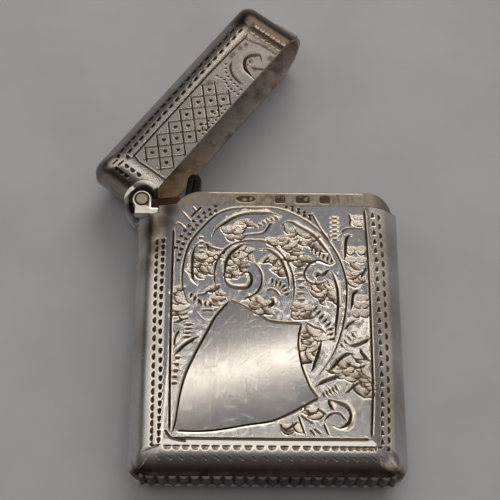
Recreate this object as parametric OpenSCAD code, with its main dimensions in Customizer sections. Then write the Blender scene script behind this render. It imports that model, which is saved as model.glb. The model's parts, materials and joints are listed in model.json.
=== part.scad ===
// Vesta case: a pocket match safe in sheet silver with a sprung lid hinged at one upper corner.
// It lies on its back. X points right, Y from the striker towards the lid, Z out of the front.
// The origin is the middle of the flat back. All sizes are in millimetres and degrees.

/* [Case] */
// Width across the two rounded sides
case_w = 38; // [34:0.5:46]
// Depth from the back to the front
case_d = 9.5; // [9:0.1:11]
// Height of the body from the striker to the mouth
body_h = 39.3; // [34:0.1:50]
// Height of the lid above the mouth
lid_h = 11; // [10:0.1:14]
// Thickness of the body's sheet
wall = 0.5; // [0.4:0.05:0.6]
// Rounding of the body's lower corners seen from the front
base_corner_r = 2.6; // [1.5:0.1:3.5]
// Rounding of the lid's upper corners seen from the front
lid_corner_r = 1.8; // [1:0.1:3]

/* [Striker] */
// Width of the striker from back to front
striker_w = 4.2; // [3.4:0.1:5]
// Distance of the striker's ends from the case's sides
striker_end = 1.8; // [1.6:0.1:3]
// Thickness of the striker
striker_t = 1; // [0.8:0.05:1.4]
// Spacing of the striker's teeth
tooth_pitch = 1.5; // [1:0.1:2]
// Depth of the striker's teeth
tooth_depth = 0.5; // [0.3:0.05:0.6]

/* [Mouth rim] */
// Height of the rim above the mouth
rim_rise = 2.2; // [1.6:0.1:2.6]
// Reach of the rim down inside the body
rim_reach = 3.5; // [2.5:0.1:5]
// Thickness of the rim
rim_t = 0.4; // [0.3:0.05:0.5]
// Distance from the left side to the foot of the rim's left shoulder
rim_left = 5.7; // [5.5:0.1:7]
// Length of the left shoulder
rim_left_run = 3.8; // [3:0.1:5]
// Distance from the right side to the foot of the rim's right shoulder
rim_right = 0.8; // [0.6:0.1:2]
// Length of the right shoulder
rim_right_run = 3.6; // [3:0.1:5]
// Gap between the rim and the lid's inside
lid_clear = 0.12; // [0.08:0.01:0.15]
// Gap between the shut lid and the mouth
mouth_gap = 0.15; // [0.1:0.05:0.3]

/* [Hinge] */
// Angle of the open lid
lid_open = 52.8; // [40:0.2:60]
// Distance of the pin inside the left side
pivot_in = 0.66; // [0.55:0.01:0.8]
// Height of the pin above the mouth
pivot_up = 1.34; // [1.2:0.02:1.6]
// Diameter of the pin
pin_d = 1.84; // [1.5:0.02:1.9]
// Running gap between the pin and the lid's knuckle
pin_clear = 0.05; // [0.02:0.01:0.08]
// Radius of the eyes round the pin
eye_r = 1.4; // [1.3:0.05:1.5]
// Back of the rear lug, measured back from the middle of the depth
rear_lug_from = 3.55; // [3.3:0.05:3.7]
// Front of the rear lug, measured back from the middle of the depth
rear_lug_to = 2.25; // [2:0.05:2.5]
// Back of the front lug, measured forward from the middle of the depth
front_lug_from = 1.9; // [1.8:0.05:2.2]
// Front of the front lug, measured forward from the middle of the depth
front_lug_to = 3.45; // [3.2:0.05:3.7]
// Gap between the knuckle and each lug
side_gap = 0.15; // [0.1:0.01:0.2]
// Reach of the lugs' feet to the right of the pin
foot_reach = 2.5; // [2:0.1:2.8]
// Depth of the lugs' feet below the mouth
foot_drop = 1.1; // [0.9:0.05:1.4]
// Distance of the lugs' left faces from the pin
foot_left = 1; // [0.9:0.05:1.1]
// Depth of the sunk ring round the pin's front end
ring_depth = 0.2; // [0.1:0.05:0.3]
// Width of the sunk ring round the pin's front end
ring_w = 0.16; // [0.1:0.01:0.18]

/* [Hinge hood] */
// Outer radius of the hood round the pin
hood_r = 2.6; // [2.5:0.05:2.8]
// Thickness of the hood
hood_t = 0.6; // [0.4:0.05:0.7]
// Front of the hood measured forward from the middle of the depth
hood_front = 3.3; // [3:0.05:3.6]
// Height above the pin where the hood's front starts to slope back
hood_slope_from = 2.08; // [1.9:0.02:2.2]
// Backward slope of the hood's front along its tail
hood_slope = 1.95; // [1.8:0.05:2.05]
// Gap between the hood's tail and the body at the open stop
stop_gap = 0.15; // [0.1:0.05:0.3]
// Angle below level where the hood starts on the shut lid
hood_start = 22; // [15:1:24]

/* [Spring] */
// Width of the spring strip from back to front
spring_w = 3; // [2.4:0.1:3.2]
// Thickness of the spring strip
spring_t = 0.9; // [0.6:0.05:1]
// Distance of the spring's crown from the left side
crown_in = 8.15; // [8:0.05:9]
// Height of the crown's centre above the mouth
crown_up = 5.4; // [5:0.1:6.2]
// Inner radius of the crown
crown_r = 0.1; // [0.1:0.05:0.4]
// Height of the short leg's end above the mouth
leg_end_up = 1.6; // [1:0.1:2.4]
// Sideways lean of the long leg towards the hinge
leg_lean = 2.05; // [1.8:0.05:2.3]
// Depth of the long leg's lower bend below the mouth
bend_down = 9; // [8:0.5:11]
// Depth where the strip meets its saddle, below the mouth
seat_down = 14.5; // [13:0.5:16]
// Length of the strip on its saddle
seat_len = 6.5; // [6:0.1:8]
// Distance of the seat from the left side
seat_in = 1.2; // [1.15:0.05:1.4]
// Gap between the knuckle's heel and the spring
heel_gap = 0.2; // [0.15:0.05:0.3]
// Width of the heel
heel_w = 1.2; // [1:0.05:1.4]
// Angle of the heel below level when the lid is shut
heel_angle = 45; // [40:1:48]
// Room in the rim for the turning heel, beyond the eye's own room
heel_room = 0.6; // [0.5:0.05:0.8]
// Diameter of the rivet shanks
rivet_d = 0.9; // [0.7:0.05:1]
// Diameter of the rivet heads
rivet_head_d = 1.7; // [1.4:0.1:2]
// Height of the rivet heads
rivet_head_h = 0.45; // [0.3:0.05:0.6]
// Distance of the rivets from the seat's ends
rivet_inset = 1.6; // [1.4:0.1:2]
// Depth of the rivet shanks in the saddle
rivet_sink = 0.4; // [0.3:0.05:0.5]

/* [Thumb catch] */
// Distance of the catch from the mouth
catch_from = 0.9; // [0.6:0.1:1.4]
// Length of the catch along the lid's end
catch_len = 3.2; // [2.6:0.1:4]
// Width of the catch from back to front
catch_w = 3.2; // [2.4:0.1:4]
// Height of the catch above the lid's end
catch_proud = 0.25; // [0.2:0.05:0.6]
// Radius of the nib at the catch's upper end
nib_r = 0.6; // [0.4:0.05:0.7]

/* [Hidden] */
$fn = 96;
silver = [0.74, 0.71, 0.67];
pale_brass = [0.72, 0.66, 0.5];
dark_steel = [0.13, 0.13, 0.14];
mid_z = case_d / 2;
far = 200;
// Overlap of a cutting shape past the face that it cuts
over = 1;
// Room between the rounded front view and the straight sides it leaves alone
plan_ease = 0.05;
base_run = sqrt(pow(mid_z, 2) - pow(striker_w / 2, 2));
mouth_y = (body_h - base_run) / 2;
lid_wall = wall - lid_clear;
pivot_x = pivot_in - case_w / 2;
pin_r = pin_d / 2;
rear_z0 = mid_z - rear_lug_from;
rear_z1 = mid_z - rear_lug_to;
front_z0 = mid_z + front_lug_from;
front_z1 = mid_z + front_lug_to;
knuckle_z0 = rear_z1 + side_gap;
knuckle_z1 = front_z0 - side_gap;
hood_ri = hood_r - hood_t;
hood_end = 180 + acos((pivot_in + stop_gap) / hood_ri) - lid_open;
spring_z0 = mid_z - spring_w / 2;
crown_x = crown_in - case_w / 2;
crown_mid = crown_r + spring_t / 2;
leg_angle = atan(leg_lean / (crown_up + bend_down));
leg_way = [-sin(leg_angle), -cos(leg_angle)];
leg_top = [crown_x - crown_mid * cos(leg_angle), crown_up + crown_mid * sin(leg_angle)];
leg_bend = leg_top + (leg_top[1] + bend_down) / cos(leg_angle) * leg_way;
short_leg = (crown_up - leg_end_up) / cos(leg_angle);
seat_x = seat_in - case_w / 2;
seat_top = [seat_x + spring_t / 2, -seat_down];
seat_low = [seat_x + spring_t / 2, -seat_down - seat_len];
rivet_high = -seat_down - rivet_inset;
rivet_low = -seat_down - seat_len + rivet_inset;
leg_line = leg_bend - leg_top;
leg_to_pin = leg_top - [pivot_x, pivot_up];
leg_far = abs(leg_to_pin[0] * leg_line[1] - leg_to_pin[1] * leg_line[0]) / norm(leg_line);
heel_r = leg_far - spring_t / 2 - heel_gap;
// Half the width of a striker groove at the face, and how far its cutter starts below it
tooth_half = 0.42 * tooth_pitch;
tooth_dip = 0.1;
// Angles between which the knuckle joins the hood
web_from = 40;
web_to = 120;
// Overlap of the nib's root with the catch
nib_root = 0.2;

// Cross-section of the case: flat faces with full-round sides
module section(w, d) {
  square([w - d, d], center = true);
  for (side = [-1, 1])
    translate([side * (w - d) / 2, 0])
      circle(d = d);
}

// Side view of one end: flat faces running into a full-round end that may be cut off flat
module end_view(d, length, run) {
  intersection() {
    union() {
      translate([0, -d / 2])
        square([length - run, d]);
      translate([length - run, 0])
        circle(d = d);
    }
    translate([0, -d])
      square([run < d / 2 ? length : length + d, 2 * d]);
  }
}

// Front view of one end: straight sides with rounded corners
module plan_view(w, length, r) {
  translate([-w / 2, 0])
    square([w, length - r]);
  translate([r - w / 2, 0])
    square([w - 2 * r, length]);
  for (side = [-1, 1])
    translate([side * (w / 2 - r), length - r])
      circle(r = r);
}

// Cushion-shaped block from the mouth along +Y
module cushion(w, d, length, run, r) {
  translate([0, 0, mid_z])
    intersection() {
      rotate([-90, 0, 0])
        linear_extrude(length + over)
          section(w, d);
      rotate([90, 0, 90])
        translate([0, 0, -w])
          linear_extrude(2 * w)
            end_view(d, length, run);
      translate([0, 0, -d])
        linear_extrude(2 * d)
          plan_view(w + 2 * plan_ease, length + plan_ease, r);
    }
}

// Everything in front of, or behind, the middle of the depth
module front_half() {
  intersection() {
    children();
    translate([-far, -far, mid_z])
      cube([2 * far, 2 * far, far]);
  }
}

module back_half() {
  intersection() {
    children();
    translate([-far, -far, mid_z - far])
      cube([2 * far, 2 * far, far]);
  }
}

// Places what is modelled about the mouth
module at_mouth() {
  translate([0, mouth_y, 0])
    children();
}

// Places what is modelled on the shut lid, with the lid open
module on_lid() {
  translate([pivot_x, mouth_y + pivot_up, 0])
    rotate([0, 0, lid_open])
      translate([-pivot_x, -pivot_up, 0])
        children();
}

// Round bar along the pin's axis
module on_pin(r, z0, z1) {
  translate([pivot_x, pivot_up, z0])
    cylinder(r = r, h = z1 - z0);
}

module body_hollow() {
  translate([0, over, 0])
    mirror([0, 1, 0])
      cushion(case_w - 2 * wall, case_d - 2 * wall, body_h - wall + over, base_run - wall,
              base_corner_r - wall);
}

module body_sheet() {
  difference() {
    mirror([0, 1, 0])
      cushion(case_w, case_d, body_h, base_run, base_corner_r);
    body_hollow();
    striker_blank();
    hinge_room();
  }
}

module striker_blank() {
  translate([striker_end - case_w / 2, -body_h, mid_z - striker_w / 2])
    cube([case_w - 2 * striker_end, striker_t, striker_w]);
}

// Plate of one lug: an eye round the pin above a foot let into the body's corner
module lug_blank(z0, z1) {
  on_pin(eye_r, z0, z1);
  translate([pivot_x - foot_left, -foot_drop, z0])
    cube([foot_left + eye_r, foot_drop + pivot_up, z1 - z0]);
  translate([pivot_x - foot_left, -foot_drop, z0])
    cube([foot_left + foot_reach, foot_drop, z1 - z0]);
}

// Room in the corner for the lugs, open to the front and the back, and for the lid's knuckle between them
module hinge_room() {
  lug_blank(front_z0, case_d + over);
  lug_blank(-over, rear_z1);
  on_pin(eye_r + side_gap, rear_z1, front_z0);
}

module body_front_shell() {
  color(silver)
    at_mouth()
      front_half()
        body_sheet();
}

module body_back_shell() {
  color(silver)
    at_mouth()
      back_half()
        body_sheet();
}

module striker_plate() {
  teeth = floor((case_w - 2 * striker_end) / tooth_pitch / 2);
  color(silver)
    at_mouth()
      difference() {
        striker_blank();
        for (i = [-teeth : teeth])
          translate([i * tooth_pitch, -body_h, mid_z - striker_w])
            linear_extrude(2 * striker_w)
              polygon([[-tooth_half, -tooth_dip], [tooth_half, -tooth_dip], [0, tooth_depth]]);
        base_corners();
      }
}

// What lies outside the body's rounded lower corners
module base_corners() {
  for (side = [-1, 1])
    translate([side * (case_w / 2 - base_corner_r), base_corner_r - body_h, 0])
      difference() {
        translate([side < 0 ? -far : 0, -far, 0])
          cube([far, far, case_d]);
        translate([0, 0, -over])
          cylinder(r = base_corner_r, h = case_d + 2 * over);
      }
}

// Front view of the rim: level top with a round shoulder at each end
module rim_view() {
  left = rim_left - case_w / 2;
  right = case_w / 2 - rim_right;
  left_r = (pow(rim_left_run, 2) + pow(rim_rise, 2)) / (2 * rim_rise);
  right_r = (pow(rim_right_run, 2) + pow(rim_rise, 2)) / (2 * rim_rise);
  translate([-case_w, -rim_reach])
    square([2 * case_w, rim_reach]);
  translate([left + rim_left_run, -rim_reach])
    square([right - rim_right_run - left - rim_left_run, rim_reach + rim_rise]);
  intersection() {
    translate([left + rim_left_run, rim_rise - left_r])
      circle(r = left_r);
    translate([left - over, -over])
      square([rim_left_run + 2 * over, rim_rise + 2 * over]);
  }
  intersection() {
    translate([right - rim_right_run, rim_rise - right_r])
      circle(r = right_r);
    translate([right - rim_right_run - over, -over])
      square([rim_right_run + 2 * over, rim_rise + 2 * over]);
  }
}

module mouth_rim() {
  rim_w = case_w - 2 * wall;
  rim_d = case_d - 2 * wall;
  color(silver)
    at_mouth()
      difference() {
        intersection() {
          translate([0, -rim_reach, mid_z])
            rotate([-90, 0, 0])
              linear_extrude(rim_reach + rim_rise)
                difference() {
                  section(rim_w, rim_d);
                  section(rim_w - 2 * rim_t, rim_d - 2 * rim_t);
                }
          linear_extrude(case_d)
            rim_view();
        }
        hinge_room();
        on_pin(eye_r + side_gap + heel_room, rear_z1 - side_gap, front_z0 + side_gap);
      }
}

module hinge_lug_front() {
  color(silver)
    at_mouth()
      difference() {
        lug_blank(front_z0, front_z1);
        on_pin(pin_r, front_z0 - over, front_z1 + over);
        on_pin(pin_r + ring_w, front_z1 - ring_depth, front_z1 + over);
      }
}

module hinge_lug_rear() {
  color(silver)
    at_mouth()
      difference() {
        lug_blank(rear_z0, rear_z1);
        on_pin(pin_r, rear_z0 - over, rear_z1 + over);
      }
}

module hinge_pin() {
  color(pale_brass)
    at_mouth()
      on_pin(pin_r, rear_z0, front_z1);
}

// Flat strip seen from its edge between two points, with a round end at the second
module strip_view(a, b) {
  run = b - a;
  translate(a)
    rotate(atan2(run[1], run[0]))
      translate([0, -spring_t / 2])
        square([norm(run), spring_t]);
  translate(b)
    circle(d = spring_t);
}

// Round-topped slot that hangs from the crown's centre
module slot_view(r, length) {
  circle(r = r);
  translate([-r, -length])
    square([2 * r, length]);
}

// Hairpin at the top of the spring: the crown with its two parallel legs
module hairpin_view() {
  translate([crown_x, crown_up])
    rotate(-leg_angle)
      difference() {
        slot_view(crown_r + spring_t, short_leg);
        slot_view(crown_r, short_leg + over);
      }
}

module lid_spring() {
  color(dark_steel)
    at_mouth()
      translate([0, 0, spring_z0])
        difference() {
          linear_extrude(spring_w) {
            hairpin_view();
            strip_view(leg_top, leg_bend);
            strip_view(leg_bend, seat_top);
            strip_view(seat_top, seat_low);
          }
          translate([0, 0, spring_w / 2]) {
            rivet_bar(rivet_high, rivet_d, -over, spring_t + over);
            rivet_bar(rivet_low, rivet_d, -over, spring_t + over);
          }
        }
}

// Round bar across the spring's seat at one height
module rivet_bar(y, d, x0, x1) {
  translate([seat_x + x0, y, 0])
    rotate([0, 90, 0])
      cylinder(d = d, h = x1 - x0);
}

module spring_saddle() {
  color(silver)
    at_mouth()
      difference() {
        intersection() {
          translate([-case_w / 2, -seat_down - seat_len, spring_z0])
            cube([seat_in, seat_len, spring_w]);
          body_hollow();
        }
        translate([0, 0, mid_z]) {
          rivet_bar(rivet_high, rivet_d, -rivet_sink, over);
          rivet_bar(rivet_low, rivet_d, -rivet_sink, over);
        }
      }
}

// Rivet with its shank in the saddle and its head on the strip
module rivet(y) {
  color(dark_steel)
    at_mouth()
      translate([0, 0, mid_z]) {
        rivet_bar(y, rivet_d, -rivet_sink, spring_t);
        rivet_bar(y, rivet_head_d, spring_t, spring_t + rivet_head_h);
      }
}

module spring_rivet_upper() {
  rivet(rivet_high);
}

module spring_rivet_lower() {
  rivet(rivet_low);
}

module lid_block() {
  cushion(case_w, case_d, lid_h, mid_z, lid_corner_r);
}

module lid_sheet() {
  difference() {
    lid_block();
    translate([0, -over, 0])
      cushion(case_w - 2 * lid_wall, case_d - 2 * lid_wall, lid_h - lid_wall + over,
              mid_z - lid_wall, lid_corner_r - lid_wall);
    translate([-far, mouth_gap - far, -far])
      cube([2 * far, far, 2 * far]);
    on_pin(hood_r, -over, case_d + over);
  }
}

module lid_front_shell() {
  color(silver)
    on_lid()
      front_half()
        lid_sheet();
}

module lid_back_shell() {
  color(silver)
    on_lid()
      back_half()
        lid_sheet();
}

// Wedge from the pin between two angles
module wedge_view(a0, a1) {
  reach = 4 * hood_r;
  step = (a1 - a0) / 4;
  polygon(concat([[0, 0]], [for (i = [0 : 4]) reach * [cos(a0 + i * step), sin(a0 + i * step)]]));
}

module hinge_hood() {
  color(silver)
    on_lid()
      difference() {
        intersection() {
          translate([pivot_x, pivot_up, 0])
            linear_extrude(case_d)
              intersection() {
                difference() {
                  circle(r = hood_r);
                  circle(r = hood_ri);
                }
                wedge_view(-hood_start, hood_end);
              }
          union() {
            lid_block();
            translate([pivot_x - far, -far, rear_z0])
              cube([far + hood_r, 2 * far, mid_z + hood_front - rear_z0]);
          }
        }
        translate([pivot_x - far, pivot_up, mid_z + hood_front])
          rotate([90, 0, 90])
            linear_extrude(far)
              polygon([[hood_slope_from, 0], [hood_slope_from - far, -far * hood_slope],
                       [hood_slope_from - far, far], [hood_slope_from, far]]);
        translate([pivot_x - far, pivot_up - far, -far])
          cube([far, far + over, far + knuckle_z0]);
      }
}

module lid_knuckle() {
  color(silver)
    on_lid()
      difference() {
        union() {
          on_pin(eye_r, knuckle_z0, knuckle_z1);
          translate([pivot_x, pivot_up, knuckle_z0])
            linear_extrude(knuckle_z1 - knuckle_z0)
              intersection() {
                circle(r = hood_ri);
                wedge_view(web_from, web_to);
              }
          translate([pivot_x, pivot_up, knuckle_z0 + side_gap])
            linear_extrude(knuckle_z1 - knuckle_z0 - 2 * side_gap)
              rotate(-heel_angle) {
                translate([0, -heel_w / 2])
                  square([heel_r - heel_w / 2, heel_w]);
                translate([heel_r - heel_w / 2, 0])
                  circle(d = heel_w);
              }
        }
        on_pin(pin_r + pin_clear, -over, case_d + over);
      }
}

module thumb_catch() {
  color(silver)
    on_lid()
      difference() {
        union() {
          translate([case_w / 2 - over, catch_from, mid_z - catch_w / 2])
            cube([over + catch_proud, catch_len, catch_w]);
          translate([case_w / 2, catch_from + catch_len + nib_r, mid_z - catch_w / 4])
            cylinder(r = nib_r, h = catch_w / 2);
          translate([case_w / 2 - over, catch_from + catch_len - nib_root, mid_z - catch_w / 4])
            cube([over, nib_r + nib_root, catch_w / 2]);
        }
        lid_block();
      }
}

body_front_shell();
body_back_shell();
striker_plate();
mouth_rim();
hinge_lug_front();
hinge_lug_rear();
hinge_pin();
spring_saddle();
lid_spring();
spring_rivet_upper();
spring_rivet_lower();
lid_front_shell();
lid_back_shell();
hinge_hood();
lid_knuckle();
thumb_catch();
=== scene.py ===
"""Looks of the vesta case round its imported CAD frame.

The two engraved faces and the marks on the rim are fine relief meshes. The other pieces keep their CAD shape,
some with rounded edges, and have worn metal on it. Sizes are in millimetres in the CAD frame until a mesh is
made. On a developed face, s runs across from the middle and t runs along the face away from the mouth.
"""
import json
import math

import bmesh
import bpy
import numpy as np
from mathutils import Matrix, Vector


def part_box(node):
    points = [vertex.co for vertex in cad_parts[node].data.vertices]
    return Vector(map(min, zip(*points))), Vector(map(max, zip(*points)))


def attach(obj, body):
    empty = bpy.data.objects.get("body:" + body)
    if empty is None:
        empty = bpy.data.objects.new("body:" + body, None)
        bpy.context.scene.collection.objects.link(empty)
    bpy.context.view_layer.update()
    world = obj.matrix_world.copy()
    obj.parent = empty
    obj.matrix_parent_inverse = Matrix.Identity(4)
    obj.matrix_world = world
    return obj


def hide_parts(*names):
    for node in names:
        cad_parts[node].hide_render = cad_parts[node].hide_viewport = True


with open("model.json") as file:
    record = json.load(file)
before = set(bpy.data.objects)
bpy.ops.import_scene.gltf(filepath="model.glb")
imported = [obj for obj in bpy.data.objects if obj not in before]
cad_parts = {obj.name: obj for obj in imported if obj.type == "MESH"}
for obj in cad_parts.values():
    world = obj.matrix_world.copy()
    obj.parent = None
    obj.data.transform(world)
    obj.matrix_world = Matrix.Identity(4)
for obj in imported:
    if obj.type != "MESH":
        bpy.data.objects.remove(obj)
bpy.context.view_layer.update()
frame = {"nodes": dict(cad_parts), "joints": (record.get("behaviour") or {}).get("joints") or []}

MM = 0.001

# The photograph's camera: what it looks at, how far away it is, its direction, its roll and its lens.
IMAGE_PX = 500
SENSOR_MM = 36.0
FOCAL_PX = 1173.16
CAMERA_TARGET = (-2.529, 12.498, 4.5)
CAMERA_DISTANCE = 171.673
CAMERA_ELEVATION = 66.693
CAMERA_AZIMUTH = -1.744
CAMERA_ROLL = 2.228

# Light of the lamps and of the strip lamp, the cream of painted highlights on cut silver, the brown of
# tarnished hollows and painted shade in its cuts, brown stains, the pale silver of the worked ground, and the
# floor's two tones.
WARM_LIGHT = (1.0, 0.935, 0.83)
STRIP_LIGHT = (1.0, 0.9, 0.75)
PAINTED_CUT_HIGHLIGHT = (0.95, 0.86, 0.74)
CUT_BROWN = (0.36, 0.285, 0.22)
BROWN_STAIN = (0.3, 0.255, 0.215)
COOL_SILVER = (0.74, 0.732, 0.735)
FLOOR_TONES = ((0.42, 0.434, 0.475), (0.46, 0.474, 0.516))
BLACK = (0, 0, 0)
WHITE = (1, 1, 1)

# Sheet sizes that the frame's boxes don't give.
BODY_WALL = 0.5
LID_WALL = 0.38
BASE_CORNER = 2.6
LID_CORNER = 1.8
HOOD_R = 2.6

# Relief: spacing of the fine and coarse grids, how far out the fine part goes to each side and along the body
# and the lid, and how far the worn skin lies under the CAD surface.
FINE = 0.075
COARSE = 0.9
FINE_HALF = 18.6
BODY_FINE = 38
LID_FINE = 10
SUNK = 0.03
# Where a graver's cut is deepest, from its edge with the painted highlight at -1 to its edge with the painted
# shade at 1.
VALLEY = 0.08
# On the same scale, where a cut's burr stands, how wide the burr is, and how far its patina with painted
# shade and its painted highlight reach.
BURR_AT = -1.2
BURR_WIDE = 0.25
SHADE_REACH = 1.35
PAINTED_SHINE_REACH = 1.5
# From a leaf's upper edge at 0 to its lower edge at 1, where the painted shade of its dark lower edge starts
# and how soon it is full.
LEAF_EDGE = 0.73
LEAF_EDGE_RUN = 0.16
# What a relief tells its material: patina with painted shade, painted highlight, brown stain, satin finish
# and pale ground.
LABELS = ("tarnish", "warm", "stain", "satin", "cool")
# How much lower the body's front is at its two ends than at its middle, and outside its engraved frame.
CROWN = 0.26
SHOULDER = 0.12
# Half width of the engraved frame, and how far below the mouth it ends.
FRAME_HALF = 13.7
FRAME_END = 34.25


def clamp(value):
    """Values held between 0 and 1."""
    return np.clip(value, 0, 1)


def in_scene(name, data):
    """A new object in the scene."""
    made = bpy.data.objects.new(name, data)
    bpy.context.scene.collection.objects.link(made)
    return made


def box_mm(node):
    """Lowest and highest corner of a CAD node in millimetres."""
    low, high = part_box(node)
    return np.array(low) / MM, np.array(high) / MM


def turned(points, angle):
    """Points turned about the hinge pin."""
    out = points.copy()
    x = points[..., 0] - PIVOT[0]
    y = points[..., 1] - PIVOT[1]
    out[..., 0] = PIVOT[0] + x * math.cos(angle) - y * math.sin(angle)
    out[..., 1] = PIVOT[1] + x * math.sin(angle) + y * math.cos(angle)
    return out


def shut_box(node):
    """Lowest and highest corner of a lid node with the lid turned shut."""
    points = np.array([v.co for v in frame["nodes"][node].data.vertices]) / MM
    points = turned(points, -LID_OPEN)
    return points.min(0), points.max(0)


hinge = frame["joints"][0]
PIVOT = np.array(hinge["pos_m"][:2]) / MM
LID_OPEN = -math.radians(hinge["range_deg"][0])

shell_low, shell_high = box_mm("body_front_shell")
striker_low, striker_high = box_mm("striker_plate")
foot_low, foot_high = box_mm("hinge_lug_front")
lid_low, lid_high = shut_box("lid_front_shell")

# Sizes of the developed faces, from the frame's boxes.
MID = shell_low[2]
HALF_W = shell_high[0]
MOUTH = shell_high[1]
FLAT_HALF = HALF_W - MID
SIDE_RUN = MID * math.pi / 2
BODY_LEN = MOUTH - shell_low[1]
STRIKER_HALF = (striker_high[2] - striker_low[2]) / 2
BODY_FLAT = BODY_LEN - math.sqrt(MID ** 2 - STRIKER_HALF ** 2)
LID_START = lid_low[1] - MOUTH
LID_LEN = lid_high[1] - MOUTH
LID_FLAT = LID_LEN - MID
RIM_RISE = box_mm("mouth_rim")[1][1] - MOUTH
RIM_MID = 0.48 * RIM_RISE
# Edges that turn more than this are sharp.
SHARP = math.radians(35)


def developed(out):
    """Distance along a developed face of a point that is this far past the flat."""
    return MID * math.asin(min(max(out / MID, -1), 1))


def smooth_path(points, step):
    """Evenly spaced points on a smooth curve through the given ones, with each one's share of the length."""
    p = np.array(points, float)
    if len(p) > 2:
        ends = np.vstack([2 * p[0] - p[1], p, 2 * p[-1] - p[-2]])
        u = np.linspace(0, 1, 24, endpoint=False)[:, None]
        pieces = []
        for a, b, c, d in zip(ends[:-3], ends[1:-2], ends[2:-1], ends[3:]):
            pieces.append(b + u * (c - a) / 2 + u ** 2 * (a - 2.5 * b + 2 * c - d / 2)
                          + u ** 3 * (1.5 * (b - c) + (d - a) / 2))
        p = np.vstack(pieces + [p[-1:]])
    run = np.concatenate([[0], np.cumsum(np.hypot(*np.diff(p, axis=0).T))])
    count = max(int(run[-1] / step), 2)
    at = np.linspace(0, run[-1], count + 1)
    return np.stack([np.interp(at, run, p[:, 0]), np.interp(at, run, p[:, 1])], 1), at / run[-1]


def along(points, count, start=0.0, stop=1.0):
    """Points and directions at even steps along a smooth curve."""
    path, share = smooth_path(points, FINE)
    at = np.linspace(start, stop, count)
    x = np.interp(at, share, path[:, 0])
    t = np.interp(at, share, path[:, 1])
    slope = np.gradient(path, axis=0)
    angle = np.unwrap(np.arctan2(slope[:, 1], slope[:, 0]))
    return list(zip(x, t, np.interp(at, share, angle)))


def spaced(start, stop, first, middle, last):
    """Positions from start to stop whose spacing goes from first through middle to last."""
    out = [start]
    while out[-1] < stop:
        share = (out[-1] - start) / (stop - start)
        out.append(out[-1] + np.interp(share, (0, 0.5, 1), (first, middle, last)))
    return out


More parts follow.
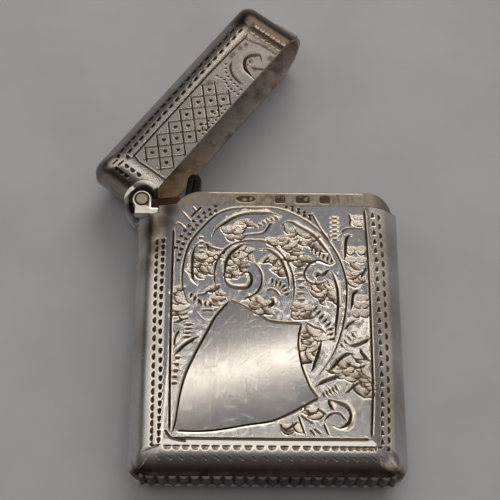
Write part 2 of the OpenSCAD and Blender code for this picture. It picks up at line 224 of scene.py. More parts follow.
class Relief:
    """Cuts, nicks and scooped ground on a developed face, and the patina, painted shade and painted
    highlights that they hold.
    """

    def __init__(self, s, t, seed):
        self.s = s
        self.t = t
        self.random = np.random.default_rng(seed)
        for name in ("cut", "rise", *LABELS):
            setattr(self, name, np.zeros((len(t), len(s))))

    def window(self, x, t, reach):
        """The part of the grid round a box, and its coordinates."""
        columns = slice(*np.searchsorted(self.s, (np.min(x) - reach, np.max(x) + reach)))
        rows = slice(*np.searchsorted(self.t, (np.min(t) - reach, np.max(t) + reach)))
        return (rows, columns), self.s[None, columns], self.t[rows, None]

    def nearness(self, path, half):
        """Distance to a path over its half width, on the grid round it, and which side of it that is."""
        where, s, t = self.window(path[:, 0], path[:, 1], 2 * np.max(half))
        near = np.full((t.shape[0], s.shape[1]), 9.0)
        right = np.zeros_like(near)
        row0, column0 = where[0].start, where[1].start
        for (x, down), (dx, dt), h in zip(path, np.gradient(path, axis=0), half):
            local, ls, lt = self.window(x, down, 2 * h)
            inside = (slice(local[0].start - row0, local[0].stop - row0),
                      slice(local[1].start - column0, local[1].stop - column0))
            far = np.hypot(ls - x, lt - down) / h
            closer = far < near[inside]
            near[inside] = np.where(closer, far, near[inside])
            right[inside] = np.where(closer, np.sign(dx * (lt - down) - dt * (ls - x)), right[inside])
        return where, near, right

    def mark(self, where, **values):
        """Takes the greater of what is there and what is added."""
        for name, value in values.items():
            field = getattr(self, name)
            field[where] = np.maximum(field[where], value)

    def stroke(self, points, width, depth, dark=1, taper=0.15, valley=VALLEY, painted_shine=1.0, tarnish_and_shade_amount=1.0):
        """A graver's cut along a smooth curve: a broad slope with a painted highlight and, on the dark side,
        a steep wall with patina and painted shade.
        """
        path, share = smooth_path(points, 0.7 * FINE)
        half = width / 2 * np.clip(np.minimum(share, 1 - share) / taper, 0.3, 1)
        where, near, right = self.nearness(path, half)
        across = near * right * dark
        slope = np.where(across < valley, (across + 1) / (1 + valley), (1 - across) / (1 - valley))
        deep = np.where(near < 1, clamp(slope), 0)
        deep = deep * deep * (1.6 - 0.6 * deep)
        burr = np.exp(-((across - BURR_AT) / BURR_WIDE) ** 2) * (near < 1.8)
        shade = clamp((across - valley + 0.4) / 0.3) * clamp((SHADE_REACH - across) / 0.35)
        shade = shade * (near < SHADE_REACH)
        light = clamp((across + PAINTED_SHINE_REACH) / 0.4) * clamp((valley - across) / 0.5) * (near < PAINTED_SHINE_REACH)
        self.mark(where, cut=depth * deep, rise=0.12 * depth * burr, tarnish=tarnish_and_shade_amount * shade, warm=painted_shine * light,
                  satin=0.7 * light)

    def flake(self, x, t, angle, length, width, depth, tone):
        """One scooped leaf over what is there: a painted highlight at its upper edge, falling to painted
        shade at its dark lower edge.
        """
        where, s, t_grid = self.window(x, t, 0.7 * length)
        u = ((s - x) * math.cos(angle) + (t_grid - t) * math.sin(angle)) / (length / 2)
        v = ((t_grid - t) * math.cos(angle) - (s - x) * math.sin(angle)) / (width / 2) + 0.5 * u ** 2 - 0.15
        span = clamp(1 - u ** 2)
        inside = np.abs(v) < span
        fall = clamp((v / np.maximum(span, 0.1) + 1) / 2)
        shade = 0.3 * tone ** 2
        dark = np.maximum(shade + (0.8 * tone - shade) * fall, clamp((fall - LEAF_EDGE) / LEAF_EDGE_RUN))
        for name, value in (("cut", depth * (0.3 + 0.7 * fall)), ("tarnish", dark), ("warm", 1 - 0.3 * fall),
                            ("satin", 1.3), ("cool", 0)):
            field = getattr(self, name)
            field[where] = np.where(inside, value, field[where])

    def flakes(self, outline, pitch, depth):
        """Ground chased over an outline: rows of leaves on a bed darkened with painted shade, each row over
        the one below it.
        """
        ring = np.array(outline, float)
        low, high = ring.min(0), ring.max(0)
        leaves = []
        for row in np.arange(high[1], low[1], -0.42 * pitch):
            for column in np.arange(low[0], high[0], 0.9 * pitch):
                shift, drop, turn, size, tone = self.random.random(5)
                x = column + pitch * (0.9 * shift - 0.2)
                down = row + 0.3 * pitch * (drop - 0.5)
                if inside_ring(x, down, ring):
                    angle = math.radians(90 * turn - 35)
                    leaves.append((x, down, angle, pitch * (1.0 + 0.8 * size), 0.3 + 0.7 * tone))
        for x, down, angle, length, _ in leaves:
            self.flake(x, down, angle, 1.1 * length, 0.8 * pitch, depth, 1)
        for x, down, angle, length, tone in leaves:
            self.flake(x, down, angle, length, 0.65 * pitch, depth, tone)

    def comb(self, points, count, length, lean, width, depth):
        """A row of short cuts across a curve, each with painted shade on its lower side."""
        for x, t, angle in along(points, count):
            a = angle + math.radians(lean)
            reach = math.copysign(0.5 * length, math.cos(a))
            dx, dt = reach * math.cos(a), reach * math.sin(a)
            line = [(x - dx, t - dt), (x, t - 0.08 * length), (x + dx, t + dt)]
            self.stroke(line, width, depth, taper=0.45, valley=0.4)

    def nick(self, x, t, toward, length, width, depth, corner=2, painted_shine=0.6, tarnish_and_shade_amount=1.0):
        """A half-round dent with its flat steep side at its root; a greater corner makes it squarer. Inside
        it is dark with patina and painted shade, and round its edge is a painted highlight.
        """
        where, s, t_grid = self.window(x, t, 1.6 * max(length, width))
        angle = math.radians(toward)
        out = (s - x) * math.cos(angle) + (t_grid - t) * math.sin(angle) + width / 2
        across = (t_grid - t) * math.cos(angle) - (s - x) * math.sin(angle)
        round_out = (np.abs(across / (length / 2)) ** corner + np.abs(out / width) ** corner) ** (1 / corner)
        inside = clamp(1 - round_out) * clamp(out / (0.8 * FINE))
        edge = np.exp(-((round_out - 1.1) / 0.2) ** 2) * clamp(out / FINE + 1)
        self.mark(where, cut=depth * inside ** 0.7, tarnish=tarnish_and_shade_amount * clamp(6 * inside), warm=painted_shine * edge)

    def cuts(self, sets, dark=1):
        """Strokes along every path of some sets, each set with the shape of its cut."""
        for paths, shape in sets:
            for points in paths:
                self.stroke(points, dark=dark, **shape)

    def smears(self, places):
        """Soft brown stains, which turn darker still above an amount of 1."""
        for x, t, reach, amount in places:
            where, s, t_grid = self.window(x, t, 2.5 * reach)
            self.mark(where, stain=amount * np.exp(-((s - x) ** 2 + (t_grid - t) ** 2) / reach ** 2))

    def nick_row(self, points, positions, toward, length, width, depth, tarnish_and_shade_amount):
        """Nicks with painted highlights on their edges, at given places down a line of points."""
        line = np.array(points, float)
        for down in positions:
            across = np.interp(down, line[:, 1], line[:, 0])
            self.nick(across, down, toward, length, width, depth, painted_shine=1.0, tarnish_and_shade_amount=tarnish_and_shade_amount)


def blurred(field, passes):
    """A field averaged with its neighbours."""
    for _ in range(passes):
        wide = np.pad(field, 1, mode="edge")
        field = (wide[:-2, 1:-1] + wide[2:, 1:-1] + wide[1:-1, :-2] + wide[1:-1, 2:] + 2 * field) / 6
    return field


def inside_ring(x, t, ring):
    """Whether points lie inside a closed outline."""
    inside = np.zeros(np.broadcast(x, t).shape, bool)
    for (x0, t0), (x1, t1) in zip(ring, np.roll(ring, -1, axis=0)):
        if t0 != t1:
            inside ^= ((t0 > t) != (t1 > t)) & (x < x0 + (t - t0) / (t1 - t0) * (x1 - x0))
    return inside


def ripples(s, t, random, count, shortest, longest):
    """Gentle waves in all directions, about one unit high."""
    out = np.zeros((len(t), len(s)))
    for _ in range(count):
        turn, length, phase = random.random(3)
        wave = 2 * math.pi / (shortest + (longest - shortest) * length)
        aim = 2 * math.pi * turn
        out += np.sin(wave * (s[None, :] * math.cos(aim) + t[:, None] * math.sin(aim)) + 2 * math.pi * phase)
    return out / math.sqrt(count / 2)


class Face:
    """One developed face of the case: flat, with rounded sides and a rounded far end."""

    def __init__(self, flat, length, corner, wall, base=0.0):
        self.flat = flat
        self.base = base
        self.length = length
        self.corner = corner
        self.wall = wall

    def place(self, s, t, inset=0.0, lift=0.0):
        """Where developed points lie, with the last axis x, distance from the mouth and z."""
        inset = inset + self.base
        radius = MID - inset
        side = np.maximum(np.abs(s) - FLAT_HALF, 0) / MID
        end = np.maximum(t - self.flat, 0) / MID
        tilt = np.maximum(side, end)
        by_side = side >= end
        x = np.minimum(np.abs(s), FLAT_HALF) + radius * np.sin(side)
        run = np.minimum(t, self.flat) + radius * np.sin(end)
        apart = np.abs((x - FLAT_HALF) - (run - self.flat))
        soft = self.corner - inset
        curve = np.sqrt(np.maximum(2 * soft ** 2 - apart ** 2, 0))
        ease = np.where(apart < soft, soft - (apart + curve) / 2, 0)
        ease = ease * clamp(radius * np.sin(np.minimum(side, end)) / (0.4 * soft))
        x = x - ease
        run = np.minimum(run - ease, self.length - inset)
        z = MID + (radius + lift) * np.cos(tilt)
        x = x + np.where(by_side, lift * np.sin(side), 0)
        run = run + np.where(by_side, 0, lift * np.sin(end))
        out_x = x - (HALF_W - self.corner)
        out_run = run - (self.length - self.corner)
        out = np.hypot(out_x, out_run)
        rounded = (out_x > 0) & (out_run > 0) & (out > self.corner - inset)
        pull = np.where(rounded, (self.corner - inset) / np.maximum(out, 1e-6), 1)
        x = np.where(rounded, HALF_W - self.corner + out_x * pull, x)
        run = np.where(rounded, self.length - self.corner + out_run * pull, run)
        return np.stack([np.sign(s) * x + 0 * run, run + 0 * x, z], -1)


def grid_lines(stops, exact=()):
    """Grid lines from a list of (end, spacing) after a start, with some lines moved to exact places."""
    lines = [stops[0]]
    for end, spacing in stops[1:]:
        count = max(int(round((end - lines[-1]) / spacing)), 1)
        lines.extend(np.linspace(lines[-1], end, count + 1)[1:])
    lines = np.array(lines)
    for value in exact:
        lines[np.argmin(np.abs(lines - value))] = value
    return lines


def edge_loop(quads, count):
    """The ring of vertices round a patch of quads, in the order of its faces."""
    a = quads.reshape(-1)
    b = np.roll(quads, -1, axis=1).reshape(-1)
    lone = ~np.isin(a * count + b, b * count + a)
    following = dict(zip(a[lone].tolist(), b[lone].tolist()))
    loop = [min(following)]
    while following[loop[-1]] != loop[0]:
        loop.append(following[loop[-1]])
    return loop


def loop_share(loop, s, t):
    """Each vertex's share of the way round a ring, from the ring's first vertex."""
    at = np.stack([s.reshape(-1)[loop], t.reshape(-1)[loop]], 1)
    step = np.abs(np.roll(at, -1, axis=0) - at).sum(1)
    return np.concatenate([[0], np.cumsum(step)]) / step.sum()


def bridge(outer, outer_share, inner, inner_share):
    """Triangles that close the gap between two rings that run the same way."""
    faces = []
    i = j = 0
    while i < len(outer) or j < len(inner):
        a, b = outer[i % len(outer)], inner[j % len(inner)]
        if j == len(inner) or (i < len(outer) and outer_share[i + 1] <= inner_share[j + 1]):
            i += 1
            faces.append((outer[i % len(outer)], a, b))
        else:
            j += 1
            faces.append((a, b, inner[j % len(inner)]))
    return faces


def sheet_half(face, s_lines, t_lines, keep, inset, lift, hole):
    """Points and quads of one side of a sheet, with the edge of a round hole pulled onto its circle."""
    s, t = np.meshgrid(s_lines, t_lines)
    points = face.place(s, t, inset, lift)
    index = np.arange(s.size).reshape(s.shape)
    kept = keep((s[:-1, :-1] + s[1:, 1:]) / 2, (t[:-1, :-1] + t[1:, 1:]) / 2, points)
    quads = np.stack([index[:-1, :-1], index[:-1, 1:], index[1:, 1:], index[1:, :-1]], -1)[kept]
    loop = edge_loop(quads, s.size)
    points = points.reshape(-1, 3)
    if hole is not None:
        centre, radius = hole
        out = points[loop, :2] - centre
        far = np.hypot(out[:, 0], out[:, 1])
        middle = len(s_lines) // 2
        on_hole = np.abs(far - radius) < 1.5 * (s_lines[middle + 1] - s_lines[middle])
        picked = np.array(loop)[on_hole]
        points[picked, :2] = centre + out[on_hole] / far[on_hole, None] * radius
    return points, quads, loop, loop_share(loop, s, t)


def surface_lift(face, relief, crowned, sunk):
    """How far an engraved outside stands off the CAD surface. Rounded sides also get their satin finish."""
    lift = relief.rise * (relief.cut < 0.005) - relief.cut - sunk
    s, t = np.meshgrid(relief.s, relief.t)
    if crowned:
        outside = np.maximum(np.maximum(np.abs(s) - FRAME_HALF, t - FRAME_END), 0)
        lift = lift - CROWN * (2 * np.minimum(t, face.flat) / face.flat - 1) ** 2
        lift = lift - SHOULDER * (1 - np.exp(-outside ** 2))
    tilt = np.maximum(np.maximum(np.abs(s) - FLAT_HALF, t - face.flat), 0) / MID
    relief.satin = np.maximum(relief.satin, clamp(tilt / 0.25))
    return lift * clamp((1.35 - tilt) / 0.3)


def relief_piece(name, face, relief, coarse, keep, to_row, upwards, crowned=False, hole=None, sunk=SUNK):
    """A closed sheet: the engraved outside, a coarse inside and the edges between them."""
    lift = surface_lift(face, relief, crowned, sunk)
    outer, outer_quads, outer_loop, outer_share = sheet_half(face, relief.s, relief.t, keep, 0, lift, hole)
    inner, inner_quads, inner_loop, inner_share = sheet_half(face, *coarse, keep, face.wall, 0, hole)
    inner_quads = inner_quads[:, ::-1] + len(outer)
    inner_loop = [v + len(outer) for v in inner_loop]
    strip = bridge(outer_loop, outer_share, inner_loop, inner_share)
    points = to_row(np.vstack([outer, inner]))
    faces = outer_quads.tolist() + inner_quads.tolist() + strip
    if not upwards:
        faces = [f[::-1] for f in faces]
    used = np.unique(np.concatenate([np.array(f).reshape(-1) for f in (outer_quads, inner_quads, strip)]))
    renamed = np.zeros(len(points), int)
    renamed[used] = np.arange(len(used))
    mesh = bpy.data.meshes.new(name)
    mesh.from_pydata((points[used] * MM).tolist(), [], [renamed[list(f)].tolist() for f in faces])
    whole = np.zeros(len(points))
    for label in LABELS:
        whole[:len(outer)] = getattr(relief, label).reshape(-1)
        layer = mesh.attributes.new(label, "FLOAT", "POINT")
        layer.data.foreach_set("value", whole[used].astype(np.float32))
    inside = np.zeros(len(faces), np.int32)
    inside[len(outer_quads):len(outer_quads) + len(inner_quads)] = 1
    mesh.polygons.foreach_set("material_index", inside)
    smooth = np.ones(len(faces), bool)
    smooth[len(outer_quads) + len(inner_quads):] = False
    mesh.polygons.foreach_set("use_smooth", smooth)
    mesh.update()
    return in_scene(name, mesh)


# Body engraving, as (x, distance below the mouth).
BIG_SCROLL = [(-8.8, 17.8), (-10.5, 16), (-11.6, 14.4), (-12.15, 12), (-12, 9), (-11.2, 6.1), (-9.4, 3.5),
              (-7.4, 1.45), (-5, 0.5), (-2, 0.35), (1, 0.4), (3.5, 1.2), (6, 2.75), (8, 4.7), (9.6, 7.1),
              (10.6, 9.6), (11.1, 12.5), (10.8, 16.5), (10, 19.8), (8.9, 22.5), (6.9, 25.5)]
INNER_SCROLL = [(-6.3, 14.3), (-7.35, 12.9), (-7.7, 10.8), (-7.3, 8.7), (-6, 6.8), (-4.2, 5.8), (-2, 5.5),
                (0, 5.85), (2, 7.6), (3.3, 10), (3.7, 12.5), (3.5, 14.6), (3, 16.2)]
SPIRAL_TAIL = [(-2.7, 8.7), (-1.5, 9.5), (-0.8, 11), (-0.95, 12.6), (-1.7, 13.8), (-3, 14.55), (-4.2, 15)]
FINE_CUTS = [
    BIG_SCROLL, INNER_SCROLL, SPIRAL_TAIL,
    [(6.2, 0.9), (6.7, 1.9), (7.2, 3), (7.9, 4.2), (8.8, 5.5)],
    [(9.5, 8.9), (8.8, 9.3), (8, 9.1), (7.2, 8.75), (6.3, 8.9), (5.6, 9.6), (5.2, 10.5), (5.4, 11.4),
     (6, 12), (6.8, 12.15), (7.6, 12), (8.4, 11.5)],
    [(-8.9, 6), (-8.4, 6.5), (-7.5, 6.9), (-6.5, 7.1)],
    [(-3.8, 4.8), (-2.5, 4.6), (-1.3, 4.5), (-0.6, 4.2), (-0.1, 3.5), (0.3, 2.9), (1, 2.6)],
    [(-0.8, 9.2), (-0.5, 8.6), (0, 8.1)],
    [(-10, 13.95), (-9, 13.8), (-8.3, 13.3), (-7.5, 13.1)],
    [(-9.2, 16.2), (-7.6, 16.2)],
    [(-0.4, 13.3), (0.3, 13), (1.1, 13.3), (1.8, 14.2)],
    [(-12.4, 1.1), (-10.9, 2.8)], [(-9.4, 0.3), (-10.3, 1.2), (-11.1, 2.2)], [(-10.8, 0.4), (-10.2, 1.1)],
    [(-13.1, 2.9), (-12.5, 3.1), (-11.8, 3.9)],
    [(11.7, 1.2), (11.9, 2), (11.8, 3.3)], [(10.2, 4.4), (11.3, 3.5), (13.9, 3.5)],
    [(13.9, 9.7), (13.1, 11.2)], [(10.5, 18.9), (11.2, 18), (12, 17.5)],
    [(-13, 18.1), (-11, 17.3)], [(-12.1, 19.3), (-12.6, 20.2), (-12.8, 21.6)],
    [(5.1, 17.8), (6.5, 18.6), (7.4, 18.9), (7.9, 19.5)],
    [(10.6, 23.5), (11.5, 24.1), (12.3, 24.3), (13.4, 23.9)],
    [(10.1, 28.1), (10.7, 27.7), (11.5, 26.9), (12.3, 26.5), (12.9, 26.9), (13.9, 26.9)],
    [(7.5, 31.7), (8.1, 31), (8.9, 30.7), (9.7, 30.8), (10.2, 31.4), (10.6, 31.9)],
    [(4.3, 31), (5, 31.5), (6.2, 32.2)], [(5.4, 30.3), (5.7, 31.1)], [(6.6, 30.1), (7.8, 30.9)],
    [(1.5, 32.2), (2.3, 32.9), (3.4, 32.3), (3.9, 31.8)], [(4.1, 31.1), (4.5, 32.3), (5, 33.8)],
    [(5.7, 33.1), (6.2, 33.7)], [(6.2, 32.9), (7, 33.5)], [(7.5, 32.2), (8.1, 33.7)],
]
BROAD_CUTS = [
    [(-8, 4.9), (-7.5, 3.9), (-6.5, 2.9), (-5, 1.8), (-3.5, 1.25), (-2, 1.05), (0, 1.15), (1.9, 1.75)],
    [(-9.9, 12.5), (-10.5, 12), (-10.85, 11.2), (-10.95, 8.5), (-10.7, 7.2), (-10.2, 6.3)],
    [(-1.2, 7), (-0.3, 6.95), (0.8, 7.3), (2, 8.5), (2.9, 11), (2.9, 13)],
    [(1.9, 3.2), (2.3, 2.75), (3.2, 2.6), (4.2, 2.95), (6.7, 4.6), (8.4, 6.9), (9.3, 8.8)],
    [(8.2, 10.1), (8.8, 10.3), (9.3, 11), (9.9, 13), (9.9, 16), (9.5, 18.6), (9.1, 20.6)],
    [(-6.2, 10.8), (-6.1, 11.4), (-5.5, 12.3), (-4.6, 12.7), (-3.8, 12.75), (-3, 12.6), (-2.6, 11.9),
     (-2.7, 10.9), (-3.2, 10.6), (-3.95, 11.1)],
    [(-6.1, 11.4), (-6.3, 10), (-6.1, 8.8), (-5.5, 7.6), (-4.6, 6.7), (-3.6, 6.2), (-2.9, 6.2)],
    [(6.8, 11.4), (6.6, 11), (7, 10.4), (7.5, 10.6), (8, 10.3), (8.6, 10)],
    [(0.2, 14.5), (0.8, 14.6), (0.9, 15.2), (0.2, 15.9)],
    [(10.75, 8.5), (10.75, 6.5), (10.9, 5.2), (11.5, 4.6), (12.1, 4.7)],
    [(11.4, 16), (11.5, 14.5), (11.7, 13.6), (12.3, 13.1), (13, 13.2)],
    [(7.27, 20.5), (7.3, 21.4), (7.1, 22.3), (6.5, 23.9), (5.9, 25)],
    [(8.1, 25), (8.9, 23.9), (9.7, 23), (10.6, 22.4), (11.7, 22.5)],
    [(11, 21.3), (12.3, 20.9), (14, 20.1)], [(12.6, 21.7), (13.3, 22.6), (14, 23.5)],
    [(6.3, 27.1), (7.3, 26.3), (8.9, 25.7), (9.9, 25.4)],
    [(8.1, 28.9), (9.7, 29.3), (10.6, 29.7), (11.1, 30.3), (11.3, 31.1), (11, 32.1), (10.3, 32.7),
     (9.5, 32.9), (8.7, 32.5)],
    [(8.2, 29), (8.6, 29.7), (8.9, 30.3)],
    [(-12.9, 22.9), (-12.1, 21.7), (-11, 20.8), (-9.7, 20.2)],
]
CARTOUCHE_EDGES = [
    [(-12.9, 33.7), (-12.5, 31.9), (-12.1, 28.7), (-11.4, 25.7), (-10.3, 23), (-8.7, 19.7), (-7.3, 17),
     (-5.4, 14.7)],
    [(-5.4, 14.7), (-4.2, 15.2), (-1, 17), (0.1, 17.7), (1.7, 17.95), (4.7, 18.1)],
    [(4.7, 18.1), (4.3, 19.9), (4.27, 21.5), (4.67, 24.2), (5.4, 26.3), (5.9, 27.5), (6.9, 28.8)],
    [(7, 28.6), (5.7, 29.4), (3, 30.9), (0.3, 32.05), (-3, 32.6), (-7, 33.3), (-9.9, 33.5), (-12.5, 33.4)],
]
FRAME_CUTS = [
    [(-13.45, 3.8), (-13.4, 18), (-13.25, 27), (-13.1, 33.4)],
    [(-13.7, 33.3), (-13, 34.2), (-12, 34.5), (-11, 34.65)],
    [(-12.8, 34.3), (0, 34.35), (13.6, 34.3)],
    [(13.9, 0.3), (14.1, 5), (14.25, 12), (14.25, 22), (14.2, 28), (13.8, 34.2)],
]
GROUNDS = [
    [(-6.5, 4.2), (-4.6, 2.4), (-2.6, 2.6), (-2.4, 4.3), (-4, 5.2), (-5.6, 5.6)],
    [(-10.6, 8.3), (-8.3, 8), (-8, 11), (-9.4, 11.6), (-10.5, 11)],
    [(-8.8, 6.4), (-6.6, 7.2), (-7.2, 8.4), (-8.6, 7.6)],
    [(-5.9, 9.5), (-4.6, 7.1), (-3, 6.6), (-2.3, 8.2), (-3.2, 10.2), (-5.2, 11.6)],
    [(-0.4, 8.6), (0.6, 7.8), (2.1, 9.2), (2.6, 11.4), (1.4, 10.8)],
    [(2.4, 3.6), (4.6, 3.4), (7, 5.4), (8.2, 7.4), (4.6, 6.6), (2, 5.4)],
    [(0.4, 4.6), (4.6, 6.6), (6, 8.6), (4.8, 9.8), (3.6, 9.6), (2, 7.2), (0.4, 5.6)],
    [(5.2, 12.6), (9, 11.8), (9.6, 15), (8.6, 16), (7, 14.6)],
    [(3.4, 15.4), (4.2, 14.6), (6, 16), (5.6, 17.6), (3, 17.4)],
    [(-13.1, 12.2), (-12.3, 12.6), (-11.8, 15.2), (-10.6, 17), (-12.9, 17.8)],
    [(-7.7, 12.9), (-6.4, 14), (-6.8, 15.8), (-8.2, 14.4)],
    [(-3.6, 15.2), (-1.6, 14.2), (0, 15.4), (0.2, 16.8), (-1.4, 16.4)],
    [(4.6, 18.8), (6.8, 19.2), (6.9, 21.6), (6, 24), (4.9, 23.6), (4.5, 21)],
    [(8.4, 25), (9.6, 23.6), (11.2, 24.4), (13.6, 24.4), (13.8, 26.4), (11.2, 26), (9.2, 25.4)],
    [(11.2, 27.2), (13.9, 27.1), (13.9, 29.4), (12.4, 29), (11, 28.2)],
    [(4.6, 30.6), (6.6, 29.6), (7.6, 30.8), (6.2, 31.9)],
    [(1.4, 33), (2.4, 32.2), (3.8, 32.2), (4.3, 33.6), (2.4, 33.8)],
    [(12, 9.2), (13.7, 10.6), (13.8, 12.2), (11.8, 12.2), (11.5, 10.6)],
    [(11.6, 23), (12.6, 22), (13.6, 23.4), (12.6, 23.8)],
]
# Combs, as (line, number of cuts, length of each, its lean from the line in degrees).
COMBS = [
    ([(-9.6, 5.2), (-9.5, 7.4)], 4, 0.75, 90),
    ([(-1.7, 3.4), (-0.3, 2.55), (1.3, 2)], 6, 0.7, 60),
    ([(-10.9, 14.1), (-9.7, 15), (-7.9, 15.5)], 6, 0.7, 70),
    ([(0.4, 11.8), (1.9, 12.5), (2.5, 13.7)], 6, 0.8, 80),
    ([(6.1, 6.8), (7.5, 7.8), (8.8, 8.6)], 6, 0.75, 75),
    ([(9.5, 1.9), (9.5, 5.3)], 6, 1.2, 90),
    ([(6.4, 15.9), (7.5, 17.3), (8.4, 18.5), (8.7, 20.3)], 8, 1.0, 80),
    ([(4.5, 9.9), (4.6, 14.6)], 6, 1.7, 90),
    ([(-11, 18.4), (-11.2, 20.2)], 4, 1.3, 80),
    ([(10.2, 21.2), (11.8, 19.7)], 4, 0.85, 90),
    ([(7.6, 28.2), (9.3, 27.3)], 5, 1.0, 85),
    ([(-12.4, 23.2), (-12.75, 26.8)], 5, 1.1, 85),
]
# Stains, as (x, distance below the mouth, reach, amount).
STAINS = [(-14.4, 0.8, 1.6, 1.45), (-15.4, 2.8, 2.2, 1.45), (-17.2, 3.5, 2.4, 1.8), (-16.4, 6.5, 1.8, 1.5),
          (-17.8, 9, 2, 1), (-18, 20, 3, 0.6), (18, 6, 4, 0.7), (18.4, 16, 6, 0.75), (18, 28, 6, 0.7)]
# Rows of leaf lumps in the right-hand strip, as (left end, right end, distance below the mouth, thickness).
STRIP_BLOCKS = [
    (12.2, 13.8, 1.8, 0.6), (12.2, 13.8, 2.75, 0.7), (11, 12.3, 7, 1), (12.6, 13.8, 7, 1),
    (11.1, 13.8, 8.45, 0.7), (11.8, 12.6, 10.6, 0.5), (12.2, 13.8, 14.3, 0.8), (12.1, 13.8, 15.25, 0.8),
    (11.6, 13.9, 16.5, 0.9),
]
# Side borders, as (line, range and spacing of its nicks, way their round sides face, length, width, amount of
# patina and painted shade).
NICK_ROWS = [
    ([(-14.95, 5), (-14.95, 18), (-14.6, 26), (-14.6, 35)], (5.8, 34.6, 0.95, 1.42, 0.9), 90, 0.7, 0.85, 1),
    ([(-16.05, 5), (-15.8, 26), (-15.75, 35)], (5.8, 34.8, 1.1, 1.35, 0.95), 180, 1.05, 0.6, 1),
    ([(15.1, 1), (15.4, 8), (15.5, 28), (15.3, 35)], (1.3, 34.6, 1.35, 1.62, 1.2), 270, 0.7, 0.9, 0.75),
    ([(16.2, 1), (16.6, 8), (16.6, 28), (16.4, 35)], (1.6, 34.6, 1.4, 1.62, 1.3), 0, 1.1, 0.6, 0.75),
]
# Each set of cuts on the body with the shape of its cut.
BODY_CUTS = [
    (FINE_CUTS, dict(width=0.42, depth=0.1, valley=0.15)),
    (BROAD_CUTS, dict(width=0.76, depth=0.16, taper=0.25, valley=0.35)),
    (CARTOUCHE_EDGES, dict(width=0.48, depth=0.15, taper=0.04, tarnish_and_shade_amount=0.85)),
    (FRAME_CUTS, dict(width=0.42, depth=0.14, taper=0.02, valley=-0.2)),
]
# Shapes of the other cuts, leaves and nicks on the body.
SCRATCH = dict(width=0.16, depth=0.003, painted_shine=0.5, tarnish_and_shade_amount=0)
SCRATCH_COUNT = 70
LEAF = dict(pitch=1.3, depth=0.1)
COMB = dict(width=0.6, depth=0.12)
LUMP = dict(depth=0.12, tone=0.3)
SIDE_NICK_DEPTH = 0.1
BASE_NICK = dict(length=1.2, width=0.72, depth=0.13, painted_shine=1.0, tarnish_and_shade_amount=0.5)
BASE_TICK = dict(width=0.4, depth=0.08, valley=0.4, tarnish_and_shade_amount=0.5)
BAND_LINE = dict(width=0.2, depth=0.03, tarnish_and_shade_amount=0.3)
BAND_DOT = dict(length=0.62, width=0.55, depth=0.06, corner=3)
TOP_DOT = dict(length=0.55, width=0.5, depth=0.06, corner=4)
# Distances below the mouth of the nicks and ticks along the base, and of where its darkening with patina and
# painted shade starts.
BASE_NICKS = 35.65
BASE_TICKS = (36.8, 37.35)
BASE_SHADE_AND_TARNISH = 37.4
# Left end of the dotted band round the big scroll.
BAND_LEFT = -13.2


def scratch(r, plate):
    """Fine scratches, lightened with a painted highlight, whose middles lie on a plate."""
    rows, columns = np.nonzero(plate)
    for _ in range(SCRATCH_COUNT):
        pick, turn, size = r.random.random(3)
        at = int(pick * len(rows))
        x, t = r.s[columns[at]], r.t[rows[at]]
        aim = math.radians(110 * turn - 70)
        reach = 0.3 + 0.9 * size
        dx, dt = reach * math.cos(aim), reach * math.sin(aim)
        r.stroke([(x - dx, t - dt), (x + dx, t + dt)], **SCRATCH)


def body_ground(r):
    """Worked ground in the frame, scratches on the cartouche, and leaves, combs and lumps round it."""
    s, t = np.meshgrid(r.s, r.t)
    plate = inside_ring(s, t, np.vstack([smooth_path(edge, 0.5)[0] for edge in CARTOUCHE_EDGES]))
    worked = blurred(np.where(plate | (np.abs(s) > FRAME_HALF) | (t > FRAME_END), 0.0, 1.0), 6)
    r.cut += 0.006 * worked * (1 + ripples(r.s, r.t, r.random, 40, 0.8, 3))
    r.satin += worked * (0.25 + 0.35 * clamp((t - 18) / 8)) + 0.04 * plate
    r.cool += worked
    r.mark((slice(0, 2), slice(None)), tarnish=0.7)
    scratch(r, plate)
    for outline in GROUNDS:
        r.flakes(outline, **LEAF)
    for comb in COMBS:
        r.comb(*comb, **COMB)
    for left, right, down, thick in STRIP_BLOCKS:
        lumps = max(1, round((right - left) / 1.1))
        for i in range(lumps):
            x = left + (i + 0.5) * (right - left) / lumps
            r.flake(x, down, 0, 1.5 * (right - left) / lumps, 1.5 * thick, **LUMP)


def beside_scroll(offset):
    """A line outside the upper left of the big scroll."""
    return [(-7.2, 1.45 - offset), (-9.4 - 0.65 * offset, 3.5 - 0.75 * offset),
            (-11.2 - 0.9 * offset, 6.1 - 0.45 * offset), (-12 - 0.98 * offset, 8.8)]


def body_borders(r):
    """Nicks and ticks along the sides and the base, and dotted bands outside the big scroll."""
    for line, places, toward, length, width, tarnish_and_shade_amount in NICK_ROWS:
        r.nick_row(line, spaced(*places), toward, length, width, SIDE_NICK_DEPTH, tarnish_and_shade_amount)
    for x in spaced(-13.4, 14.2, 1.2, 1.65, 0.75):
        r.nick(x, BASE_NICKS, 90, **BASE_NICK)
    for x in spaced(-14.6, 14.4, 1.55, 1.65, 1.2):
        r.stroke([(x - 0.25, BASE_TICKS[0]), (x + 0.25, BASE_TICKS[1])], **BASE_TICK)
    r.stroke([p for p in beside_scroll(1.15) if p[0] > BAND_LEFT], **BAND_LINE)
    for offset in (0.75, 1.55):
        for x, t, angle in along(beside_scroll(offset), 12, 0.05, 1):
            if x > BAND_LEFT:
                r.nick(x, t, math.degrees(angle), **BAND_DOT)
    for offset in (0.55, 1.1):
        for x, t, angle in along([(2.6, 0.85 - offset), (4.4, 1.7 - offset), (6, 2.7 - offset)], 5):
            r.nick(x, t, math.degrees(angle), **TOP_DOT)


def engrave_body(r):
    """The body's front: ground, scrolls, cartouche, frame, nicked borders and stains."""
    body_ground(r)
    r.cuts(BODY_CUTS)
    body_borders(r)
    r.smears(STAINS)
    # Darker towards the base with patina and painted shade.
    r.tarnish[:] = np.maximum(r.tarnish, 0.75 * clamp((r.t[:, None] - BASE_SHADE_AND_TARNISH) / 2))


